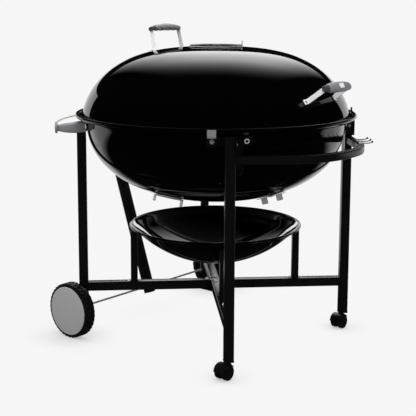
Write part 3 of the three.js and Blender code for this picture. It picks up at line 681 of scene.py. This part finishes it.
def build_keeper():
    place = corner("fr") @ turn(-6.8)
    spine = [(471.2, 752), (471.2, 772)]
    spine += [(471.2 + 3.5 * (1 - math.cos(rad(a))), 772 + 3.5 * math.sin(rad(a))) for a in (25, 50, 75)]
    spine += [(480, 776.6), (497, 780.2)]
    spine += [(498.6 + 4 * math.sin(rad(a)), 784.4 - 4 * math.cos(rad(a))) for a in (20, 45, 70)]
    spine += [(502.6, 787), (502.6, 805.9)]
    path = [Vector((x, 0, z)) for x, z in spine]
    strip = sweep(path, [(-14, -1), (14, -1), (14, 1), (-14, 1)], across=Vector((0, 1, 0)))
    look("rim_keeper", placed(strip, place), bevel=0.3)
    cover = placed(prism(rounded(27, 31, 2, 3), 1.3, 2.6), place, shift(471.2, 0, 763.5), turn(90, "Y"))
    piece("rim_keeper_cover", cover, slot="satin_black", body=TROLLEY, bevel=0.4)
    nut = placed(dome_nut(6, 6), place, shift(473.6, 0, 765), turn(90, "Y"))
    piece("rim_keeper_nut", nut, slot="plated_steel", body=TROLLEY)


def build_hook():
    """Small black hook that stands inside the rim at the back right."""
    spine = [Vector((x, 0, z)) for x, z in ((488, 794), (488.4, 803), (486.4, 812), (484, 819), (485.4, 826))]
    hook = wire(catmull([spine[0] * 2 - spine[1], *spine, spine[-1] * 2 - spine[-2]], 5), 3.2, 12)
    piece("rim_hook", placed(hook, turn(40)), slot="satin_black", body=TROLLEY)


def rail_path():
    plan = ((350, 326.5), (427, 250), (492, 181), (534, 100))
    knots = [Vector((350 - 21.2, -326.5 - 21.2, RAIL_Z))]
    knots += [Vector((x, -y, RAIL_Z)) for x, y in plan]
    knots += [Vector((546, 0, RAIL_Z))]
    knots += [Vector((x, y, RAIL_Z)) for x, y in plan[::-1]]
    knots += [Vector((350 - 21.2, 326.5 + 21.2, RAIL_Z))]
    return catmull(knots, 12)


def build_rail():
    path = rail_path()
    section = rounded(RAIL_W, RAIL_H, 4.2, 5)
    points, faces = sweep(path, section)
    count = len(section)
    clear = TUBE / 2 + GAP
    for end, name, s in ((0, "fr", 1), (len(path) - 1, "br", -1)):
        inverse = corner(name).inverted()
        beside = path[1] if end == 0 else path[-2]
        tangent = (path[end] - beside).normalized()
        local = inverse.to_3x3() @ tangent
        for k in range(count):
            p = points[end * count + k]
            p += tangent * ((s * clear - (inverse @ p).y) / local.y)
    look("work_rail", (points, faces))


def build_rail_plates():
    for name, s in (("fr", 1), ("br", -1)):
        y0, y1 = TUBE / 2 + GAP, 43
        outline = [(y0, 656), (y1 - 6, 656), (y1, 662), (y1, 770), (y1 - 6, 776), (y0, 776)]
        points, faces = prism(outline, LEG_FACE, LEG_FACE + 2.6)
        plate = ([Vector((p.z, s * p.x, p.y)) for p in points], faces)
        hole = placed(rod(4.5, LEG_FACE - 5, LEG_FACE + 8, 24), shift(0, 33 * s, 672), turn(90, "Y"))
        flange = block(LEG_FACE + 0.4, 502, s * y0, s * (y0 + 2.6), RAIL_Z + RAIL_H / 2 + 1, 776)
        look(f"rail_plate_{name}", placed(plate, corner(name)), holes=placed(hole, corner(name)), bevel=0.4)
        flange = placed(flange, corner(name))
        piece(f"rail_flange_{name}", flange, slot="satin_black", body=TROLLEY, bevel=0.6)
        rivet = lathe([(0, 0), (5, 0), (4, 2.2), (0, 3)], 24)
        rivet = placed(rivet, corner(name), shift(LEG_FACE + 2.6, s * 33, 764), turn(90, "Y"))
        piece(f"rail_rivet_{name}", rivet, slot="satin_black", body=TROLLEY)
        bolt = placed(dome_nut(5, 5), corner(name), shift(LEG_R + 3, s * (y0 + 2.6), 757), turn(-90 * s, "X"))
        piece(f"rail_bolt_{name}", bolt, slot="plated_steel", body=TROLLEY)


PEG_AT = (0.725, 0.78, 0.835)
PEG_STRIP = (0.71, 0.85)


def build_pegs():
    path = rail_path()
    lengths = [0.0]
    for a, b in zip(path, path[1:]):
        lengths.append(lengths[-1] + (b - a).length)

    def along(share):
        target = share * lengths[-1]
        i = max(k for k in range(len(lengths) - 1) if lengths[k] <= target)
        t = (target - lengths[i]) / (lengths[i + 1] - lengths[i])
        return path[i].lerp(path[i + 1], t), (path[i + 1] - path[i]).normalized()

    top = RAIL_Z + RAIL_H / 2 + GAP
    lift = Vector((0, 0, top + 1.2 - RAIL_Z))
    strip = [along(PEG_STRIP[0] + (PEG_STRIP[1] - PEG_STRIP[0]) * i / 14)[0] + lift for i in range(15)]
    look("tool_pegs", sweep(strip, rounded(10, 2.4, 0.8, 2)))
    for i, share in enumerate(PEG_AT):
        p, tangent = along(share)
        out = Vector((tangent.y, -tangent.x, 0))
        z = Vector((0, 0, top + 2.5 - RAIL_Z))
        reach = [(-3, 0), (10, 0), (22, 0), (30, 1), (35, 3.2), (38, 6.2)]
        spine = catmull([p + out * r + z + Vector((0, 0, h)) for r, h in [(-6, 0), *reach, (40, 10)]], 5)
        piece(f"tool_peg_{i}", wire(spine, 2.3, 12), slot="plated_steel", body=TROLLEY)
        cap = [(0, 4.2)]
        cap += [(3.1 * math.sin(rad(a)), 1.4 + 2.8 * math.cos(rad(a))) for a in (30, 60, 90)]
        cap += [(3.1, -3), (0, -3)]
        lean = (spine[-1] - spine[-2]).normalized().to_track_quat("Z", "Y").to_matrix().to_4x4()
        tip = placed(lathe(cap, 20), shift(*(spine[-1] - Vector((0, 0, 1.6)))), lean)
        piece(f"tool_peg_cap_{i}", tip, slot="black_nylon", body=TROLLEY)


def build_pan():
    outer = quarter(PAN_R, -PAN_DEPTH, 1.87, 1.27, PAN_TOP, 66, 44)
    inner = quarter(PAN_R - 2, 2 - PAN_DEPTH, 1.87, 1.27, PAN_TOP, 66, 44)
    flare = [(280, 376.4), (293, 387.4), (304.2, 396.4)]
    bead = roll(PAN_RIM_R - 3.6, 399, 3.6, -45, 170, 12)
    inside = [(302.8, 398.0), (291.6, 388.9), (278.7, 378)]
    look("ash_pan", lathe(outer + flare + bead + inside + inner[::-1], 144), crease=45)
    for name in CORNERS:
        low = BEAM_Z + TUBE / 2 + GAP
        post = placed(square_tube(25, low, 378.2, 1.8, 2.6), corner(name), shift(POST_R))
        look(f"pan_post_{name}", post)
        for k, r in enumerate((POST_R - 19.5, POST_R + 19.5)):
            nut = placed(dome_nut(4.6, 6.2), corner(name), shift(r, 0, low - GAP))
            piece(f"pan_post_nut_{name}_{k}", nut, slot="stainless", body=TROLLEY)


# ---- grates -------------------------------------------------------------------------------------
def ring_arc(radius, z, inside, count=144):
    """Stretches of a ring whose points pass a test, as open paths."""
    points = []
    for k in range(count + 1):
        t = 2 * math.pi * k / count
        points.append(Vector((radius * math.cos(t), radius * math.sin(t), z)))
    stretches, current = [], []
    for p in points:
        if inside(p):
            current.append(p)
        elif current:
            stretches.append(current)
            current = []
    if current:
        stretches.append(current)
    return [s for s in stretches if len(s) > 2]


def bars(radius, z, places, size=2.6):
    shapes = []
    for x in places:
        half = math.sqrt(max(radius * radius - x * x, 0)) - 1
        shapes.append(wire([Vector((x, -half, z)), Vector((x, half, z))], size, 8))
    return shapes


def build_grates():
    whole = [Vector((x, y, COAL_Z)) for x, y in circle(COAL_R, 96)]
    shapes = [wire(whole, 3, 10, closed=True)] + bars(COAL_R, COAL_Z, [28 * i for i in range(-11, 12)], 2.9)
    for y in (-140, 140):
        half = math.sqrt(COAL_R ** 2 - y * y) - 1
        shapes.append(wire([Vector((-half, y, COAL_Z - 4)), Vector((half, y, COAL_Z - 4))], 2.5, 8))
    look("charcoal_grate", merge(*shapes))

    edge = 244
    shapes = [wire(s, 3, 10) for s in ring_arc(GRATE_R, GRATE_Z, lambda p: abs(p.x) < edge)]
    shapes += bars(GRATE_R, GRATE_Z, [(edge - 3) * i / 12 for i in range(-12, 13)])
    for y in (-230, 0, 230):
        shapes.append(wire([Vector((1 - edge, y, GRATE_Z - 4)), Vector((edge - 1, y, GRATE_Z - 4))], 2.5, 8))
    look("cooking_grate", merge(*shapes))

    for name, s in (("left", -1), ("right", 1)):
        first = 257
        shapes = [wire(r, 3, 10) for r in ring_arc(GRATE_R, GRATE_Z, lambda p: s * p.x > 254)]
        shapes += bars(GRATE_R, GRATE_Z, [s * (first + 19.5 * i) for i in range(9)])
        for y in (-160, 160):
            reach = math.sqrt(GRATE_R ** 2 - y * y) - 1
            ends = [Vector((s * 255, y, GRATE_Z - 4)), Vector((s * reach, y, GRATE_Z - 4))]
            shapes.append(wire(ends, 2.5, 8))
        look(f"grate_flap_{name}", merge(*shapes))

    for name, angle in (("a", 93.75), ("b", 206.25), ("c", 333.75)):
        bend = ((436.2, 765.4), (448, 765.4), (451.6, 764.2), (452.7, 760), (452.7, 748.1))
        spine = [Vector((x, 0, z)) for x, z in bend]
        strip = sweep(spine, [(-10, -1.3), (10, -1.3), (10, 1.3), (-10, 1.3)], across=Vector((0, 1, 0)))
        look(f"grate_ledge_{name}", placed(strip, turn(angle)), bevel=0.3)


# ---- wheels and casters -------------------------------------------------------------------------
def wheel_place(s):
    """Local Z points from the outer face inwards along the axle."""
    return shift(AXLE_X, s * WHEEL_Y, AXLE_Z) @ turn(90 * s, "X")


def lug(angle, u0, u1, slant):
    """A shallow tread block on the tyre between two distances from the outer face."""
    rings = []
    middle = (u0 + u1) / 2
    for r, grow in ((96.4, 1.0), (98.2, 0.95), (98.95, 0.82)):
        ring = []
        for u, sign in ((u0, -1), (u1, 1)):
            for k in range(4):
                t = (-3.0 + 6.0 * k / 3) * grow * (1 if sign < 0 else -1)
                depth = middle + (u - middle) * (0.9 + 0.1 * grow)
                a = rad(angle + t + slant * (u - middle))
                ring.append(Vector((r * math.cos(a), r * math.sin(a), depth)))
        rings.append(ring)
    return loft(rings)


def build_wheel(name, s):
    tyre = [(80, 1.5), (81, 0.4), (90, 0)] + roll(92.6, 4.4, 4.4, -90, 0, 5) + [(97, 38.6)]
    tyre += roll(92.6, 38.6, 4.4, 0, 90, 5) + [(90, 43), (81, 42.6), (80, 41.5)]
    lugs = []
    for i in range(36):
        lugs.append(lug(-90 + 10 * i, 3.2, 20.6, 0.12))
        lugs.append(lug(-85 + 10 * i, 22.4, 39.8, -0.12))
    hub = [(4.3, 4), (14, 4), (14, 14), (81, 14), (81, 19.5)]
    hub += [(30, 21), (17, 24), (15, 28), (14, 55), (4.3, 55)]
    wheel = merge(lathe(tyre, 120), *lugs, lathe(hub, 72))
    look(f"wheel_{name}", placed(wheel, wheel_place(s)), crease=34)
    cap = [(0, -5.9), (20, -5.85), (46, -5.2), (69, -4.2), (77.5, -3.5), (80, -2.9), (81.5, -3.2)]
    cap += [(84.6, -2.8), (86.9, -1.6), (87.3, -0.4), (79, -0.4), (69, -2.2)]
    cap += [(12, -3.2), (9, 3.6), (4.4, 3.6), (4.4, -2.4), (0, -2.4)]
    look(f"hubcap_{name}", placed(lathe(cap, 96), wheel_place(s)), crease=40)


def build_caster(name):
    angle = CORNERS[name]
    centre = shift(LEG_R * math.cos(rad(angle)), LEG_R * math.sin(rad(angle)), 0)
    hub = Vector((0, -CASTER_TRAIL, CASTER_R))
    arcs = []
    for i in range(25):
        t = rad(35 + 140 * i / 24)
        direction = Vector((0, math.cos(t), math.sin(t)))
        ring = []
        for x, r in ((-23, 26.4), (-23, 27.2), (-20.5, 28.2), (20.5, 28.2), (23, 27.2), (23, 26.4)):
            ring.append(hub + direction * r + Vector((x, 0, 0)))
        arcs.append(ring)
    hood = loft(arcs)
    fin_profile = roll(0, 0, 21.5, 0, 359, 40)
    fin = placed(prism(fin_profile, -6.4, 6.4), shift(*hub), turn(90, "Y"))
    neck = block(-6.4, 6.4, -22, 8, 27, 45.8)
    web = []
    for i in range(13):
        t = rad(35 + 140 * i / 12)
        direction = Vector((0, math.cos(t), math.sin(t)))
        section = ((-6.4, 15), (6.4, 15), (6.4, 27), (-6.4, 27))
        web.append([hub + direction * r + Vector((x, 0, 0)) for x, r in section])
    stem = rod(5.5, 44, 92, 24, 1)
    collar = lathe([(0, 38), (6.6, 38), (6.6, 49), (6.2, 53.2), (0, 53.2)], 28)
    look(f"caster_body_{name}", placed(merge(hood, fin, neck, loft(web), stem, collar), centre), crease=36)
    side = roll(22.4, 19.6, 2.5, 0, 80, 4)
    profile = [(0, -20.5), (14, -20.8), (15.5, -21.8), (18, -22.3)] + [(r, -z) for r, z in side[::-1]]
    profile += [(24.9, -7.8), (24.3, -7.2), (4, -7.2), (4, 7.2), (24.3, 7.2), (24.9, 7.8)]
    profile += side + [(18, 22.3), (15.5, 21.8), (14, 20.8), (0, 20.5)]
    rollers = placed(lathe(profile, 56), centre, shift(*hub), turn(90, "Y"))
    look(f"caster_rollers_{name}", rollers, crease=40)
    lip = TUBE + 2
    bore = rod(5.8, 40, 120, 24)
    plug = prism(rounded(lip, lip, 3.6, 4), 53.7, 56.7)
    plate = placed(plug, corner(name), shift(LEG_R))
    look(f"leg_plug_{name}", plate, holes=placed(bore, corner(name), shift(LEG_R)), bevel=0.5)
    cap = prism(rounded(lip, lip, 3.6, 4), 780.3, 783)
    look(f"leg_cap_{name}", placed(cap, corner(name), shift(LEG_R)), bevel=0.8)


def build_axle():
    shaft = placed(rod(4, -417, 417, 28, 0.8), shift(AXLE_X, 0, AXLE_Z), turn(-90, "X"))
    look("axle", shaft)


TROLLEY = BODY_OF["bowl"]


# ---- studio -------------------------------------------------------------------------------------
TURN = 40.096  # degrees from +X to the camera's right
CAMERA_PLACE = Vector((2.22289, -2.68267, 1.18797))
CAMERA_DOWN = 8.9419
CAMERA_ROLL = 0.2136
LENS = 84.688
LENS_SHIFT = (0.0, -0.12)


def studio(right, depth, z):
    """A point given by metres to the camera's right, away from the camera, and up."""
    c, s = math.cos(rad(TURN)), math.sin(rad(TURN))
    return AXIS + Vector((right * c - depth * s, right * s + depth * c, z))


def build_camera():
    data = bpy.data.cameras.new("camera")
    data.lens = LENS
    data.sensor_width = 36
    data.shift_x, data.shift_y = LENS_SHIFT
    data.clip_end = 100
    camera = bpy.data.objects.new("camera", data)
    bpy.context.scene.collection.objects.link(camera)
    level = Matrix.Rotation(rad(TURN), 4, "Z") @ Matrix.Rotation(rad(90 - CAMERA_DOWN), 4, "X")
    level = level @ Matrix.Rotation(rad(CAMERA_ROLL), 4, "Z")
    camera.matrix_world = Matrix.Translation(CAMERA_PLACE + AXIS) @ level
    bpy.context.scene.camera = camera


def glow(name, corners, strength, fade=None):
    """A reflector that only shiny surfaces see. Each fade is (axis, from, to) across the card."""
    mesh = bpy.data.meshes.new(name)
    n = 12
    grid = [(i / n, j / n) for j in range(n + 1) for i in range(n + 1)]
    points = [corners[0].lerp(corners[1], u).lerp(corners[3].lerp(corners[2], u), v) for u, v in grid]
    starts = [j * (n + 1) + i for j in range(n) for i in range(n)]
    mesh.from_pydata(points, [], [(k, k + 1, k + n + 2, k + n + 1) for k in starts])
    layer = mesh.uv_layers.new(name="card")
    for loop, uv in zip(mesh.loops, layer.data):
        uv.uv = grid[loop.vertex_index]
    material = bpy.data.materials.new(name)
    material.use_nodes = True
    tree = material.node_tree
    tree.nodes.clear()
    out = tree.nodes.new("ShaderNodeOutputMaterial")
    emit = tree.nodes.new("ShaderNodeEmission")
    emit.inputs["Strength"].default_value = strength
    tree.links.new(emit.outputs["Emission"], out.inputs["Surface"])
    if fade:
        uv = tree.nodes.new("ShaderNodeUVMap")
        split = tree.nodes.new("ShaderNodeSeparateXYZ")
        tree.links.new(uv.outputs["UV"], split.inputs["Vector"])
        product = None
        for axis, start, end in fade:
            ramp = tree.nodes.new("ShaderNodeMapRange")
            ramp.interpolation_type = "SMOOTHSTEP"
            ramp.inputs["From Min"].default_value = start
            ramp.inputs["From Max"].default_value = end
            tree.links.new(split.outputs[axis], ramp.inputs["Value"])
            if product is None:
                product = ramp.outputs["Result"]
                continue
            times = tree.nodes.new("ShaderNodeMath")
            times.operation = "MULTIPLY"
            tree.links.new(product, times.inputs[0])
            tree.links.new(ramp.outputs["Result"], times.inputs[1])
            product = times.outputs["Value"]
        scale = tree.nodes.new("ShaderNodeMath")
        scale.operation = "MULTIPLY"
        scale.inputs[1].default_value = strength
        tree.links.new(product, scale.inputs[0])
        tree.links.new(scale.outputs["Value"], emit.inputs["Strength"])
    mesh.materials.append(material)
    card = bpy.data.objects.new(name, mesh)
    bpy.context.scene.collection.objects.link(card)
    card.visible_camera = False
    card.visible_diffuse = False
    card.visible_shadow = False
    return card


BACKDROP = 0.925  # linear brightness of the backdrop seen by the camera
FLOOR_HALF = 40


def build_floor():
    half = FLOOR_HALF
    mesh = bpy.data.meshes.new("floor")
    square = [(-half, -half, 0), (half, -half, 0), (half, half, 0), (-half, half, 0)]
    mesh.from_pydata(square, [], [(0, 1, 2, 3)])
    material = bpy.data.materials.new("floor")
    material.use_nodes = True
    tree = material.node_tree
    tree.nodes.clear()
    out = tree.nodes.new("ShaderNodeOutputMaterial")
    path = tree.nodes.new("ShaderNodeLightPath")
    # Painted shadow: the camera sees the floor as a glow that is darkened by ambient occlusion wherever parts
    # of the grill come within 0.16 m.
    shade = tree.nodes.new("ShaderNodeAmbientOcclusion")
    shade.samples = 16
    shade.inputs["Distance"].default_value = 0.16
    ramp = tree.nodes.new("ShaderNodeMapRange")
    ramp.inputs["From Min"].default_value = 0.0
    ramp.inputs["From Max"].default_value = 0.95
    ramp.inputs["To Min"].default_value = BACKDROP * 0.42
    ramp.inputs["To Max"].default_value = BACKDROP
    tree.links.new(shade.outputs["AO"], ramp.inputs["Value"])
    seen = tree.nodes.new("ShaderNodeEmission")
    tree.links.new(ramp.outputs["Result"], seen.inputs["Strength"])
    # What shiny pieces see of the floor: pale behind the grill, dark round and in front of it.
    place = tree.nodes.new("ShaderNodeTexCoord")
    away = tree.nodes.new("ShaderNodeVectorMath")
    away.operation = "DOT_PRODUCT"
    away.inputs[1].default_value = tuple(studio(0, 1, 0) - AXIS)
    tree.links.new(place.outputs["Object"], away.inputs[0])
    far = tree.nodes.new("ShaderNodeMapRange")
    far.inputs["From Min"].default_value = 0.55
    far.inputs["From Max"].default_value = 1.1
    far.inputs["To Min"].default_value = 0.006
    far.inputs["To Max"].default_value = 0.8
    tree.links.new(away.outputs["Value"], far.inputs["Value"])
    mirrored = tree.nodes.new("ShaderNodeEmission")
    tree.links.new(far.outputs["Result"], mirrored.inputs["Strength"])
    bounce = tree.nodes.new("ShaderNodeEmission")
    bounce.inputs["Strength"].default_value = 0.5
    other = tree.nodes.new("ShaderNodeMixShader")
    tree.links.new(path.outputs["Is Glossy Ray"], other.inputs["Fac"])
    tree.links.new(bounce.outputs["Emission"], other.inputs[1])
    tree.links.new(mirrored.outputs["Emission"], other.inputs[2])
    final = tree.nodes.new("ShaderNodeMixShader")
    tree.links.new(path.outputs["Is Camera Ray"], final.inputs["Fac"])
    tree.links.new(other.outputs["Shader"], final.inputs[1])
    tree.links.new(seen.outputs["Emission"], final.inputs[2])
    tree.links.new(final.outputs["Shader"], out.inputs["Surface"])
    mesh.materials.append(material)
    floor = bpy.data.objects.new("floor", mesh)
    bpy.context.scene.collection.objects.link(floor)


def build_world():
    world = bpy.data.worlds.new("studio")
    bpy.context.scene.world = world
    world.use_nodes = True
    tree = world.node_tree
    tree.nodes.clear()
    out = tree.nodes.new("ShaderNodeOutputWorld")
    path = tree.nodes.new("ShaderNodeLightPath")
    levels = []
    # What lights matt surfaces, what shiny ones see, what the camera sees.
    for strength in (0.95, 0.004, BACKDROP):
        node = tree.nodes.new("ShaderNodeBackground")
        node.inputs["Color"].default_value = (1, 1, 1, 1)
        node.inputs["Strength"].default_value = strength
        levels.append(node.outputs["Background"])
    for test, index in (("Is Glossy Ray", 1), ("Is Camera Ray", 2)):
        mix = tree.nodes.new("ShaderNodeMixShader")
        tree.links.new(path.outputs[test], mix.inputs["Fac"])
        tree.links.new(levels[0], mix.inputs[1])
        tree.links.new(levels[index], mix.inputs[2])
        levels[0] = mix.outputs["Shader"]
    tree.links.new(levels[0], out.inputs["Surface"])


def build_lights():
    # Overhead softbox: a tilted card from above the grill down to behind it.
    near, far = (0.3, 3.9), (14, 5.6)
    corners = [studio(-1.6, *near), studio(1.9, *near), studio(8, *far), studio(-8, *far)]
    glow("softbox_top", corners, 2.3, fade=[("Y", 0.0, 0.26), ("X", 0.05, 0.5), ("X", 1.0, 0.62)])
    # Small card behind the grill, level with the bottom of the bowl.
    frame_points = ((-0.45, 0.55), (0.45, 0.55), (0.45, 0.68), (-0.45, 0.68))
    corners = [studio(x, 1.2, z) for x, z in frame_points]
    glow("card_low", corners, 3.2)
    # Tall white flats on both sides, from beside the grill to far behind it.
    for name, x, low, top, high in (("left", -1.95, 1.2, 1.58, 1.5), ("right", 1.95, 1.75, 1.3, 1.55)):
        corners = [studio(x, low, 0.0), studio(x, 14, 0.0), studio(x, 14, high), studio(x, top, high)]
        glow(f"flat_{name}", corners, 0.95)
    lamp = bpy.data.lights.new("key", "AREA")
    lamp.shape = "RECTANGLE"
    lamp.size, lamp.size_y = 3.0, 2.0
    lamp.energy = 100
    key = bpy.data.objects.new("key", lamp)
    bpy.context.scene.collection.objects.link(key)
    key.location = studio(-0.6, -0.6, 3.4)
    aim = (studio(0, 0, 0.7) - key.location).normalized()
    key.rotation_euler = aim.to_track_quat("-Z", "Y").to_euler()
    key.visible_camera = False
    key.visible_glossy = False


# ---- the grill ----------------------------------------------------------------------------------
build_bowl()
for vent, vent_angle in VENTS.items():
    build_bowl_damper(vent, vent_angle)
build_lid()
build_lid_damper()
build_handle("top_handle", -230, 78.5, 0, -0.6)
build_handle("side_handle", 439, 72, 7.5, 0.8)
build_legs()
build_beams()
build_prop()
build_lid_holder()
build_brackets()
build_keeper()
build_hook()
build_rail()
build_rail_plates()
build_pegs()
build_pan()
build_grates()
build_axle()
for wheel, wheel_side in (("fl", -1), ("bl", 1)):
    build_wheel(wheel, wheel_side)
for caster_name in ("fr", "br"):
    build_caster(caster_name)

build_world()
build_floor()
build_lights()
build_camera()
bpy.context.scene.view_settings.view_transform = "Standard"
